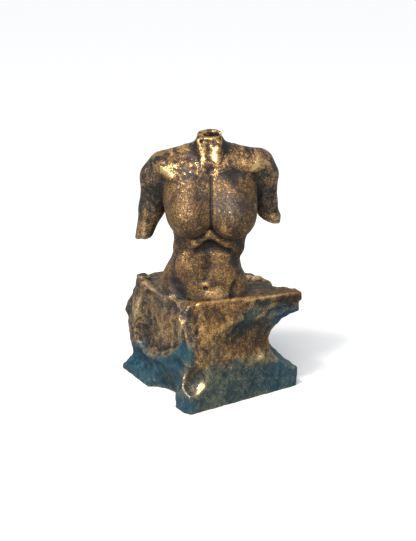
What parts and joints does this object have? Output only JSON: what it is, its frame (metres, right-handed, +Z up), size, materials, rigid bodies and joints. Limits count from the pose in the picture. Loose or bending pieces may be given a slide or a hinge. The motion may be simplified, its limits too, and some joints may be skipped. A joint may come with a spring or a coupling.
{
  "type": "headless torso statuette on a rough block",
  "caption": "Small cast bronze of a headless torso with broken arms, rising from a rough anvil-like block.",
  "frame": {"origin": "centre of the block's square underside, on the ground", "axes": "+Z up, the torso faces -Y, +X is on the viewer's right"},
  "size_m": [0.1429, 0.1404, 0.2058],
  "materials": {
    "bronze": "cast bronze, dark brown patina rubbed to gold on the high spots, blue-green low on the block"
  },
  "bodies": {
    "root": {"muse_bust": "bronze"}
  },
  "joints": []
}
